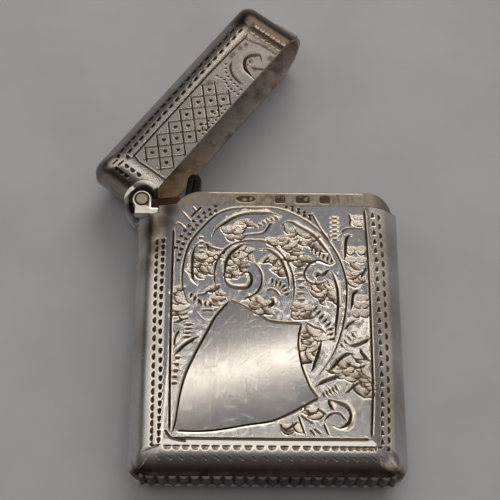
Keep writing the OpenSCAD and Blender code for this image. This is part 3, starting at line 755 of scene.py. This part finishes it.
# Lid engraving, as (x, distance above the mouth with the lid shut).
LID_FRAME = [
    [(-14.9, 6.33), (-5, 6.35), (5, 6.3), (12.9, 5.95)],
    [(-14.1, 5.9), (-14.35, 4.9), (-14.27, 3.5), (-14.27, 0.2)],
    [(12.07, 5.7), (12.3, 4.6), (12.6, 3.3), (12.7, 1.7), (12.7, 0.3)],
]
LID_CURVES = [
    [(7.5, 4.9), (6.5, 4.2), (5.8, 3.3), (5.5, 2.2), (5.3, 0.9)],
    [(8.6, 1.9), (8.9, 1.1), (9.4, 0.3)],
]
LID_VOLUTE = [(7.1, 0.3), (7.3, 1.7), (7.5, 2.5), (8.2, 3.3), (9.1, 3.7), (10.1, 3.5), (10.7, 2.9),
              (11.05, 2.3), (10.9, 1.8), (10.3, 1.3)]
LID_NICK_LINES = [
    [(4.07, 5), (4.3, 3.9), (3.9, 3.1), (3.6, 2.2), (3.5, 0.6)],
    [(6.5, 5.3), (5.7, 4.6), (5.1, 3.9), (4.7, 2.6), (4.4, 0.7)],
]
LID_COMB = ([(8.1, 2.6), (9.6, 2.6)], 4, 0.5, 70)
# Shades, as (x, distance above the mouth, reach, amount).
LID_SHADES = [(8.2, 5.5, 0.55, 1.5), (8.8, 5.5, 0.45, 1.4), (10.2, 5.35, 0.55, 1.6), (11.2, 5, 0.55, 1.6),
              (9.3, 2.6, 0.55, 1.5), (8.6, 1.2, 0.55, 1.5), (11.6, 0.6, 0.7, 1.5), (2.4, 5.2, 0.7, 1.3)]
# Where its darkening towards the hinge end, the far end and the long side starts; at the far end it is
# painted shade.
LID_NEAR = -16.6
LID_FAR = 12.6
LID_LONG = 8.6
# The lattice's box, one of its crossings and the distance between crossings.
LATTICE_LEFT = -13.8
LATTICE_RIGHT = 3.2
LATTICE_LOW = 0.3
LATTICE_HIGH = 6.0
LATTICE_NODE = (-9.35, 3.2)
LATTICE_PITCH = 2.7
# Each set of cuts on the lid with the shape of its cut, and the shapes of its other cuts and its nicks.
LID_CUTS = [
    (LID_FRAME, dict(width=0.45, depth=0.04, taper=0.02, valley=-0.2, painted_shine=0.15, tarnish_and_shade_amount=0.85)),
    (LID_CURVES, dict(width=0.5, depth=0.02, painted_shine=0.2)),
    ([LID_VOLUTE], dict(width=0.9, depth=0.02, taper=0.25, valley=0.2, painted_shine=0.25)),
]
LATTICE_CUT = dict(width=0.36, depth=0.025, taper=0.05, valley=-0.2, painted_shine=0.1, tarnish_and_shade_amount=0.75)
LATTICE_DOT = dict(length=0.75, width=0.6, depth=0.05, painted_shine=0.2)
LID_DOT = dict(length=0.45, width=0.4, depth=0.04, painted_shine=0.1)
MOUTH_DOT = dict(length=0.4, width=0.4, depth=0.04, painted_shine=0.1)
LONG_NICK = dict(length=1.1, width=0.55, depth=0.05, corner=4, painted_shine=0.1, tarnish_and_shade_amount=0.85)
NEAR_NICK = dict(length=1.0, width=0.6, depth=0.1)
FAR_NICK = dict(length=0.8, width=0.45, depth=0.03, corner=4, painted_shine=0, tarnish_and_shade_amount=0.7)


def clipped_line(x, t, slope):
    """The stretch of a slanted line through a point that lies inside the lattice's box."""
    low = max(LATTICE_LEFT, x + min((LATTICE_LOW - t) / slope, (LATTICE_HIGH - t) / slope))
    high = min(LATTICE_RIGHT, x + max((LATTICE_LOW - t) / slope, (LATTICE_HIGH - t) / slope))
    return [(low, t + slope * (low - x)), (high, t + slope * (high - x))] if high - low > 0.4 else None


def lid_lattice(r):
    """A diamond lattice with a dot in each diamond."""
    x0, t0 = LATTICE_NODE
    for k in range(-4, 8):
        for slope in (-1, 1):
            line = clipped_line(x0 + k * LATTICE_PITCH, t0, slope)
            if line:
                r.stroke(line, dark=-1, **LATTICE_CUT)
    for k in range(-3, 6):
        for row in (-1, 0, 1):
            x = x0 + (k + 0.5 * (row % 2) + 0.5) * LATTICE_PITCH
            t = t0 + row * LATTICE_PITCH / 2
            if LATTICE_LEFT + 0.4 < x < LATTICE_RIGHT - 0.6:
                r.nick(x, t, 90, **LATTICE_DOT)


def lid_borders(r):
    """Rows of dots beside the volute and at the mouth, and of nicks along the long side and both ends."""
    for points in LID_NICK_LINES:
        for x, t, angle in along(points, 8):
            r.nick(x, t, math.degrees(angle), **LID_DOT)
    for t in (0.5, 1.25):
        for x in spaced(-5, 0, 0.75, 0.75, 0.75):
            r.nick(x, t, 0, **MOUTH_DOT)
    for t, start in ((7.3, -16.3), (8.5, -16.8)):
        for x in spaced(start, 12.4, 1.25, 1.5, 1.6):
            r.nick(x, t, 270, **LONG_NICK)
    for x, rows in ((-16.1, (3.8, 5, 6.1)), (-17.3, (5.3, 6.3, 7.1))):
        for t in rows:
            r.nick(x, t, 180, **NEAR_NICK)
    for x in (13.7, 14.85):
        for t in spaced(0.6, 5.4, 1, 1, 1):
            r.nick(x, t, 0, **FAR_NICK)


def engrave_lid(r):
    """The lid's front: stains, a far end darkened with painted shade, lattice, frame, a volute and nicked
    borders.
    """
    far = clamp((r.s - LID_FAR) / 2)
    near = clamp((LID_NEAR - r.s) / 1.5)
    r.satin[:] = 1.1 + 1.4 * far
    # Painted shade darkens the far end; the hinge end and the long side are darker too.
    r.stain[:] = 0.42 + 0.2 * clamp((r.s - 2) / 8) + 0.5 * near + 1.7 * far
    r.stain += 0.5 * clamp((r.t[:, None] - LID_LONG) / 1.5) * (1 - far)
    r.smears(LID_SHADES)
    lid_lattice(r)
    r.cuts(LID_CUTS, dark=-1)
    r.comb(*LID_COMB, width=0.4, depth=0.03)
    lid_borders(r)


def body_front():
    """The engraved front of the body, cut away for the hinge and the striker."""
    face = Face(BODY_FLAT, BODY_LEN, BASE_CORNER, BODY_WALL)
    side = FLAT_HALF + SIDE_RUN
    base = BODY_FLAT + MID * math.asin((BODY_LEN - BODY_FLAT) / MID)
    notch_right = -FLAT_HALF - developed(-foot_high[0] - FLAT_HALF)
    notch_left = -FLAT_HALF - MID * math.acos((foot_low[2] - MID) / MID)
    notch_down = MOUTH - foot_low[1]
    exact_s = (notch_left, notch_right)
    exact_t = (notch_down, base)
    end = BODY_FLAT + SIDE_RUN
    s = grid_lines([-side, (-FINE_HALF, 0.3), (FINE_HALF, FINE), (side, 0.3)], exact_s)
    t = grid_lines([0, (BODY_FINE, FINE), (base, 0.25), (end, 0.5)], exact_t)
    coarse = (grid_lines([-side, (side, COARSE)], exact_s),
              grid_lines([0, (base, COARSE), (end, 1.2)], exact_t))

    def keep(s_mid, t_mid, points):
        notch = (s_mid > notch_left) & (s_mid < notch_right) & (t_mid < notch_down)
        middle = np.abs(points[:-1, :-1, 0] + points[1:, 1:, 0]) / 2
        return ~notch & ~((t_mid > base) & (middle < striker_high[0]))

    def to_row(points):
        return np.stack([points[:, 0], MOUTH - points[:, 1], points[:, 2]], 1)

    relief = Relief(s, t, seed=7)
    engrave_body(relief)
    piece = relief_piece("body_front_engraved", face, relief, coarse, keep, to_row, upwards=False,
                         crowned=True)
    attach(piece, "case")
    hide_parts("body_front_shell")
    return piece


def lid_front():
    """The engraved front of the lid, cut away round the hinge."""
    face = Face(LID_FLAT, LID_LEN, LID_CORNER, LID_WALL)
    side = FLAT_HALF + SIDE_RUN
    end = LID_FLAT + SIDE_RUN
    s = grid_lines([-side, (-FINE_HALF, 0.2), (FINE_HALF, FINE), (side, 0.3)])
    t = grid_lines([LID_START, (LID_FINE, FINE), (end, 0.25)])
    coarse = (grid_lines([-side, (side, 0.5)]), grid_lines([LID_START, (end, 0.5)]))
    centre = np.array([PIVOT[0], PIVOT[1] - MOUTH])

    def keep(s_mid, t_mid, points):
        middle = (points[:-1, :-1, :2] + points[1:, 1:, :2]) / 2 - centre
        return np.hypot(middle[..., 0], middle[..., 1]) > HOOD_R

    def to_row(points):
        return turned(points + np.array([0, MOUTH, 0]), LID_OPEN)

    relief = Relief(s, t, seed=11)
    engrave_lid(relief)
    piece = relief_piece("lid_front_engraved", face, relief, coarse, keep, to_row, upwards=True,
                         hole=(centre, HOOD_R))
    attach(piece, "lid")
    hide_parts("lid_front_shell")
    return piece


# Plain punched marks on the rim, as (x, half length, half height, corner).
RIM_MARKS = [(-3.25, 1.6, 0.62, 2), (1.7, 0.85, 0.7, 5), (5, 1.15, 0.7, 5), (8.2, 0.85, 0.7, 5)]
# Skin that carries the marks: its ends, its foot and top above the mouth, its thickness, and how far it
# stands out of the CAD rim.
RIM_LEFT = -9.2
RIM_RIGHT = 14.3
RIM_FOOT = 0.03
RIM_TOP = RIM_RISE - 0.04
RIM_SKIN = 0.1
RIM_PROUD = 0.06


def engrave_rim(r):
    """The rim's front: a worn top edge with a painted highlight and a row of blank punched marks. Both ends
    sink into the CAD rim.
    """
    lumps = ripples(r.s, r.t, r.random, 30, 0.9, 1.6)
    r.stain[:] = clamp(0.4 + 0.5 * ripples(r.s, r.t, r.random, 40, 0.4, 2))
    for x, half, high, corner in RIM_MARKS:
        where, s, t = r.window(x, RIM_MID, 1.3 * half)
        out = (np.abs((s - x) / half) ** corner + np.abs((t - RIM_MID) / high) ** corner) ** (1 / corner)
        sunk = clamp((1 - out) / 0.15)
        worn = clamp((0.8 - out) / 0.3) * clamp(lumps[where])
        r.mark(where, cut=0.05 * sunk - 0.04 * worn, tarnish=sunk * (0.95 - 0.35 * worn))
    s, t = np.meshgrid(r.s, r.t)
    edge = clamp((t - RIM_RISE + 0.35) / 0.3)
    fade = clamp(np.minimum(s - RIM_LEFT, RIM_RIGHT - s) / 1.5)
    r.warm[:] = 0.5 * edge
    r.satin[:] = 1
    r.cut[:] = fade * (r.cut + 0.05 * edge ** 2) + (1 - fade) * (RIM_PROUD + 0.02)


def rim_front():
    """A thin skin with the marks on the front of the rim."""
    face = Face(BODY_LEN, 2 * BODY_LEN, BASE_CORNER, RIM_SKIN, base=BODY_WALL)
    s = grid_lines([RIM_LEFT, (RIM_RIGHT, FINE)])
    t = grid_lines([RIM_FOOT, (RIM_TOP, FINE)])
    coarse = (grid_lines([RIM_LEFT, (RIM_RIGHT, COARSE)]), grid_lines([RIM_FOOT, (RIM_TOP, COARSE)]))

    def keep(s_mid, t_mid, points):
        return np.full(s_mid.shape, True)

    def to_row(points):
        return points + np.array([0, MOUTH, 0])

    relief = Relief(s, t, seed=3)
    engrave_rim(relief)
    piece = relief_piece("rim_marks", face, relief, coarse, keep, to_row, upwards=True, sunk=-RIM_PROUD)
    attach(piece, "case")
    return piece


def softened(node, body, width, material, clear=0.0, edge=None):
    """A copy of a CAD node with its outer edges rounded, apart from those near the pin, in place of the node.

    edge is the material of the rounded edges, where they are worn and painted brighter than the rest, as a
    highlight.
    """
    shape = bmesh.new()
    shape.from_mesh(frame["nodes"][node].data)
    bmesh.ops.remove_doubles(shape, verts=shape.verts, dist=0.001 * MM)
    bmesh.ops.dissolve_limit(shape, angle_limit=math.radians(1), verts=shape.verts, edges=shape.edges)
    rounded = []
    for side in shape.edges:
        middle = (side.verts[0].co + side.verts[1].co) / 2
        from_pin = math.hypot(middle.x / MM - PIVOT[0], middle.y / MM - PIVOT[1])
        if side.is_convex and from_pin > clear and side.calc_face_angle(0) > SHARP:
            rounded.append(side)
    bmesh.ops.bevel(shape, geom=rounded, offset=width * MM, segments=4, profile=0.5, affect="EDGES",
                    clamp_overlap=True, material=1 if edge else -1)
    mesh = bpy.data.meshes.new(node + "_soft")
    shape.to_mesh(mesh)
    shape.free()
    mesh.shade_smooth()
    mesh.set_sharp_from_angle(angle=SHARP)
    mesh.materials.append(material)
    if edge:
        mesh.materials.append(edge)
    piece = in_scene(node + "_soft", mesh)
    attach(piece, body)
    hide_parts(node)


class Nodes:
    """A short way to add and join shader nodes."""

    def __init__(self, tree):
        self.tree = tree

    def set(self, socket, value):
        """Joins a socket to another node's output, or gives it a plain value."""
        if isinstance(value, bpy.types.NodeSocket):
            self.tree.links.new(value, socket)
        else:
            socket.default_value = value

    def add(self, kind, settings=None, **inputs):
        """A new node, whose inputs go by name, or by number as i0, i1 and so on."""
        made = self.tree.nodes.new(kind)
        for key, value in (settings or {}).items():
            setattr(made, key, value)
        for key, value in inputs.items():
            numbered = key[0] == "i" and key[1:].isdigit()
            self.set(made.inputs[int(key[1:]) if numbered else key], value)
        return made

    def ramp(self, fac, stops):
        """A smooth colour ramp through (place, colour) stops."""
        made = self.add("ShaderNodeValToRGB", i0=fac)
        ramp = made.color_ramp
        ramp.interpolation = "EASE"
        while len(ramp.elements) < len(stops):
            ramp.elements.new(0.5)
        for element, (at, colour) in zip(ramp.elements, stops):
            element.position = at
            element.color = (*colour, 1)
        return made.outputs["Color"]

    def noise(self, where, scale, detail=3.0, rough=0.55):
        """Cloudy noise from 0 to 1."""
        made = self.add("ShaderNodeTexNoise", Vector=where, Scale=scale, Detail=detail, Roughness=rough)
        return made.outputs["Fac"]

    def math(self, operation, a, b):
        """A sum, product or the like, held between 0 and 1."""
        made = self.add("ShaderNodeMath", {"operation": operation, "use_clamp": True}, i0=a, i1=b)
        return made.outputs[0]

    def mix(self, fac, a, b, kind="MIX"):
        """Two colours mixed."""
        made = self.add("ShaderNodeMix", {"data_type": "RGBA", "blend_type": kind, "clamp_factor": True})
        for place, value in ((0, fac), (6, a), (7, b)):
            self.set(made.inputs[place], (*value, 1) if isinstance(value, tuple) else value)
        return made.outputs[2]

    def between(self, value, low, high, start=0.0, stop=1.0):
        """A value that goes from low to high as another goes from start to stop."""
        made = self.add("ShaderNodeMapRange", Value=value, i1=start, i2=stop, i3=low, i4=high)
        return made.outputs[0]

    def distance(self, where, x, y, z):
        """Distance from a fixed point that is given in millimetres."""
        point = (x * MM, y * MM, z * MM)
        made = self.add("ShaderNodeVectorMath", {"operation": "DISTANCE"}, i0=where, i1=point)
        return made.outputs["Value"]


def new_material(name):
    """A new material, with its nodes and its shader."""
    material = bpy.data.materials.new(name)
    material.use_nodes = True
    return material, Nodes(material.node_tree), material.node_tree.nodes["Principled BSDF"]


# Three sets of fine scratches, each as (turn, scale across, along and into the metal).
SCRATCH_SETS = ((0.5, (2600, 130, 600)), (-0.7, (2200, 90, 600)), (1.35, (3000, 150, 600)))


def crossed_scratches(n, where):
    """Fine scratches in three directions."""
    lines = []
    for turn, stretch in SCRATCH_SETS:
        aimed = n.add("ShaderNodeMapping", Vector=where, Rotation=(0, 0, turn), Scale=stretch).outputs[0]
        lines.append(n.ramp(n.noise(aimed, 1.0, 2, 0.5), [(0.6, BLACK), (0.7, WHITE)]))
    return n.math("MAXIMUM", n.math("MAXIMUM", lines[0], lines[1]), lines[2])


def lining(n, where, near, middle, far):
    """Patchy colour of the lid's inside, from near the hinge pin to far from it, kept pale as painted light
    in the shaded lid.
    """
    along_lid = n.between(n.distance(where, *PIVOT, MID), 0.0, 1.0, 0.004, 0.036)
    colour = n.ramp(along_lid, [(0.0, near), (0.45, middle), (0.75, middle), (0.95, far)])
    patches = n.ramp(n.noise(where, 300, 6, 0.7), [(0.48, WHITE), (0.64, (0.3, 0.2, 0.14))])
    return n.mix(0.7, colour, patches, "MULTIPLY")


def engraving(n, where, colour, dark, dulled):
    """Colour and roughness of an engraved mesh, by what its relief says of each point: painted highlights,
    patina and painted shade, stains and pale ground.
    """
    said = {label: n.add("ShaderNodeAttribute", {"attribute_name": label}).outputs["Fac"] for label in LABELS}
    mottled = n.between(n.noise(where, 1300, 4, 0.6), 0.5, 1.2, 0.35, 0.65)
    colour = n.mix(n.math("MULTIPLY", said["cool"], mottled), colour, COOL_SILVER)
    # Painted highlight: cream on the lit slopes of cuts, leaves, nick edges and the rim's top edge.
    colour = n.mix(n.math("MULTIPLY", said["warm"], 0.7), colour, PAINTED_CUT_HIGHLIGHT)
    grime = n.between(n.noise(where, 900, 5, 0.7), 0.6, 1.2, 0.3, 0.7)
    colour = n.mix(n.math("MULTIPLY", said["stain"], grime), colour, BROWN_STAIN)
    colour = n.mix(n.math("SUBTRACT", said["stain"], 1.0), colour, dark)
    # Patina and painted shade: brown, then near black where it is strongest.
    patchy = n.math("MULTIPLY", said["tarnish"], n.between(n.noise(where, 420, 3), 0.75, 1.3))
    colour = n.mix(n.ramp(patchy, [(0.12, BLACK), (0.6, WHITE)]), colour, CUT_BROWN)
    colour = n.mix(n.ramp(patchy, [(0.4, BLACK), (0.9, WHITE)]), colour, dark)
    rougher = n.math("MULTIPLY", n.math("MAXIMUM", said["tarnish"], said["satin"]), 0.14)
    return colour, n.math("ADD", dulled, rougher)


def pin_gap_shade(n, where, near, far):
    """A ring of painted shade round the hinge pin's axis, in the gap between pin and lug, from near to far in
    millimetres.
    """
    parts = n.add("ShaderNodeSeparateXYZ", Vector=where)
    level = n.add("ShaderNodeCombineXYZ", X=parts.outputs["X"], Y=parts.outputs["Y"]).outputs[0]
    out = n.distance(level, *PIVOT, 0)
    rise = n.between(out, 0.0, 1.0, (near - 0.08) * MM, near * MM)
    return n.math("MULTIPLY", rise, n.between(out, 1.0, 0.0, far * MM, (far + 0.1) * MM))


def worn_metal(name, bright, dull, dark, rough, stain=0.5, scratch=0.4, engraved=False, lined=None, corner_dirt_and_shade=0.55,
               ring=None):
    """Worn metal: cloudy patina, fine scratches, and grime with painted shade in the corners, or the relief's
    patina, painted shade and painted highlights on engraved meshes.

    lined is three colours for faces that look out of the front, from near the hinge pin to far from it, paler
    than the metal as painted light inside the shaded lid. ring is how near and how far from the pin's axis a
    ring of painted shade lies.
    """
    material, n, shader = new_material(name)
    shader.inputs["Metallic"].default_value = 1.0
    where = n.add("ShaderNodeTexCoord").outputs["Object"]
    cloud = n.ramp(n.noise(where, 170, 5, 0.6), [(0.38, BLACK), (0.68, WHITE)])
    fleck = n.ramp(n.noise(where, 1500, 4, 0.65), [(0.45, BLACK), (0.75, WHITE)])
    colour = n.mix(n.math("MULTIPLY", cloud, stain), bright, dull)
    if lined:
        facing = n.add("ShaderNodeNewGeometry").outputs["Normal"]
        forward = n.add("ShaderNodeSeparateXYZ", Vector=facing).outputs["Z"]
        front = n.between(forward, 0.0, 1.0, -0.08, 0.02)
        colour = n.mix(front, colour, lining(n, where, *lined))
        n.set(shader.inputs["Metallic"], n.between(front, 1.0, 0.0))
    colour = n.mix(n.math("MULTIPLY", fleck, 0.35 * stain), colour, dark)
    dulled = n.between(cloud, rough - 0.02 * stain, rough + 0.08 * stain)
    if engraved:
        colour, dulled = engraving(n, where, colour, dark, dulled)
    else:
        # Grime and painted shade: occlusion darkens corners and gaps.
        open_sky = n.add("ShaderNodeAmbientOcclusion", {"samples": 8}, Distance=0.0006).outputs["AO"]
        colour = n.mix(n.ramp(open_sky, [(0.35 * corner_dirt_and_shade, WHITE), (corner_dirt_and_shade, BLACK)]), colour, dark)
    # Painted shade in the gap round the pin.
    if ring:
        colour = n.mix(pin_gap_shade(n, where, *ring), colour, dark)
    bump = n.add("ShaderNodeBump", Height=crossed_scratches(n, where), Strength=scratch, Distance=0.000004)
    n.set(shader.inputs["Base Color"], colour)
    n.set(shader.inputs["Roughness"], dulled)
    n.set(shader.inputs["Normal"], bump.outputs[0])
    return material


def floor():
    """A plain pale grey floor under the case."""
    half = 0.9
    mesh = bpy.data.meshes.new("floor")
    corners = [(-half, -half, 0), (half, -half, 0), (half, half, 0), (-half, half, 0)]
    mesh.from_pydata(corners, [], [(0, 1, 2, 3)])
    material, n, shader = new_material("pale_floor")
    where = n.add("ShaderNodeTexCoord").outputs["Object"]
    colour = n.ramp(n.noise(where, 60, 4), [(0.3, FLOOR_TONES[0]), (0.7, FLOOR_TONES[1])])
    n.set(shader.inputs["Base Color"], colour)
    shader.inputs["Roughness"].default_value = 0.7
    mesh.materials.append(material)
    in_scene("floor", mesh)


def area_lamp(name, toward, distance, size, radiance, turn=0.0, colour=WARM_LIGHT):
    """A soft lamp of a given brightness that faces the case from a direction, turned in degrees."""
    light = bpy.data.lights.new(name, "AREA")
    light.shape = "RECTANGLE"
    light.size, light.size_y = size
    light.energy = radiance * math.pi * size[0] * size[1]
    light.color = colour
    away = Vector(toward).normalized()
    facing = away.to_track_quat("Z", "Y").to_matrix().to_4x4()
    about = Matrix.Rotation(math.radians(turn), 4, "Z")
    in_scene(name, light).matrix_world = Matrix.Translation(away * distance) @ facing @ about


def room():
    """A lit ceiling above darker walls, darkest behind the camera."""
    world = bpy.data.worlds.new("room")
    world.use_nodes = True
    n = Nodes(world.node_tree)
    where = n.add("ShaderNodeTexCoord").outputs["Generated"]
    parts = n.add("ShaderNodeSeparateXYZ", Vector=where)
    ceiling = n.ramp(parts.outputs["Z"], [(0.3, (0.09, 0.086, 0.082)), (0.8, (0.22, 0.21, 0.2)),
                                          (0.93, (0.28, 0.28, 0.288)), (0.98, (0.19, 0.19, 0.193))])
    toward_camera = n.math("MULTIPLY", parts.outputs["Y"], -1.0)
    behind = n.ramp(toward_camera, [(0.1, WHITE), (0.5, (0.35, 0.335, 0.32))])
    back = world.node_tree.nodes["Background"]
    n.set(back.inputs["Color"], n.mix(1.0, ceiling, behind, "MULTIPLY"))
    back.inputs["Strength"].default_value = 0.88
    bpy.context.scene.world = world


def lights():
    """A key lamp behind, a strip lamp for the highlight, and weaker lamps overhead and at both sides."""
    area_lamp("strip_lamp", (0.0, 0.268, 0.963), 0.8, (0.95, 0.013), 6.7, turn=20, colour=STRIP_LIGHT)
    area_lamp("left_lamp", (-0.69, 0.2, 0.69), 0.6, (0.34, 0.5), 0.85)
    area_lamp("key_lamp", (0.2, 0.81, 0.52), 1.2, (0.9, 0.7), 4.15)
    area_lamp("top_lamp", (0.0, -0.06, 0.998), 0.8, (0.6, 0.26), 1.1)
    area_lamp("side_lamp", (0.75, -0.5, 0.42), 1.2, (0.8, 0.7), 0.6)
    area_lamp("right_lamp", (0.85, 0.33, 0.4), 1.2, (0.6, 0.9), 0.45)


def camera():
    """The photograph's camera."""
    elevation, azimuth, roll = (math.radians(v) for v in (CAMERA_ELEVATION, CAMERA_AZIMUTH, CAMERA_ROLL))
    turn = Matrix.Rotation(azimuth, 4, "Z") @ Matrix.Rotation(math.pi / 2 - elevation, 4, "X")
    turn = turn @ Matrix.Rotation(roll, 4, "Z")
    at = (Vector(CAMERA_TARGET) + CAMERA_DISTANCE * turn.col[2].xyz) * MM
    data = bpy.data.cameras.new("camera")
    data.sensor_fit = "HORIZONTAL"
    data.sensor_width = SENSOR_MM
    data.lens = FOCAL_PX / IMAGE_PX * SENSOR_MM
    data.clip_start = 0.01
    made = in_scene("camera", data)
    made.matrix_world = Matrix.Translation(at) @ turn
    bpy.context.scene.camera = made


def dress():
    """Materials of all pieces."""
    engraved = worn_metal("engraved_silver", (0.6, 0.595, 0.6), (0.54, 0.525, 0.51), (0.05, 0.036, 0.028),
                          rough=0.12, stain=0.25, scratch=0.42, engraved=True)
    # The lid's lining colours are paler than the metal, as painted light inside the shaded lid.
    plain = worn_metal("plain_silver", (0.52, 0.495, 0.46), (0.32, 0.28, 0.24), (0.1, 0.08, 0.065),
                       rough=0.24, stain=0.9,
                       lined=((1.0, 0.68, 0.38), (0.6, 0.56, 0.54), (0.85, 0.76, 0.72)))
    # The insides of the engraved sheets are paler than the metal, as painted light in the shaded lid.
    inside = worn_metal("dull_inside", (0.78, 0.62, 0.46), (0.6, 0.46, 0.33), (0.06, 0.045, 0.035), rough=0.4)
    rim = worn_metal("rim_silver", (0.26, 0.228, 0.196), (0.19, 0.158, 0.13), (0.07, 0.05, 0.038), rough=0.42)
    marked = worn_metal("rim_marked", (0.24, 0.215, 0.19), (0.17, 0.14, 0.115), (0.07, 0.05, 0.038),
                        rough=0.28, stain=0.8, engraved=True)
    # The lug and the pin carry a ring of painted shade round the pin.
    bright = worn_metal("hinge_silver", (0.95, 0.925, 0.88), (0.66, 0.62, 0.56), (0.08, 0.06, 0.045),
                        rough=0.34, stain=0.5, corner_dirt_and_shade=0.4, ring=(0.8, 1.06))
    catch = worn_metal("catch_silver", (0.22, 0.21, 0.2), (0.15, 0.14, 0.13), (0.06, 0.045, 0.035),
                       rough=0.42, stain=0.6)
    # Worn edges, made brighter as a painted highlight, for the catch and the lid's back shell.
    worn = worn_metal("worn_edge_highlight", (0.9, 0.86, 0.8), (0.7, 0.65, 0.58), (0.2, 0.16, 0.13), rough=0.34,
                      stain=0.4)
    knuckle = worn_metal("hinge_dark", (0.07, 0.038, 0.032), (0.04, 0.022, 0.019), (0.03, 0.016, 0.014),
                         rough=0.4)
    striker = worn_metal("striker_silver", (0.14, 0.13, 0.12), (0.08, 0.074, 0.068), (0.02, 0.016, 0.014),
                         rough=0.4, stain=0.9, corner_dirt_and_shade=0.8)
    brass = worn_metal("pin_brass", (0.6, 0.53, 0.4), (0.46, 0.39, 0.27), (0.05, 0.037, 0.028), rough=0.28,
                       ring=(0.86, 1.06))
    steel = worn_metal("spring_steel", (0.02, 0.02, 0.021), (0.013, 0.0125, 0.013), (0.02, 0.018, 0.016),
                       rough=0.35)
    for piece, outer in ((body_front(), engraved), (lid_front(), engraved), (rim_front(), marked)):
        piece.data.materials.append(outer)
        piece.data.materials.append(inside)
    softened("hinge_lug_front", "case", 0.24, bright, clear=1.2)
    softened("hinge_hood", "lid", 0.12, bright)
    softened("thumb_catch", "lid", 0.1, catch, edge=worn)
    softened("lid_back_shell", "lid", 0.12, plain, edge=worn)
    softened("striker_plate", "case", 0.08, striker)
    softened("lid_spring", "case", 0.12, steel)
    by_node = {"body_back_shell": plain, "mouth_rim": rim, "hinge_lug_rear": bright,
               "lid_knuckle": knuckle, "hinge_pin": brass, "spring_saddle": plain,
               "spring_rivet_upper": steel, "spring_rivet_lower": steel}
    for name, material in by_node.items():
        mesh = frame["nodes"][name].data
        mesh.materials.clear()
        mesh.materials.append(material)


bpy.context.scene.view_settings.view_transform = "Standard"
camera()
room()
lights()
floor()
dress()
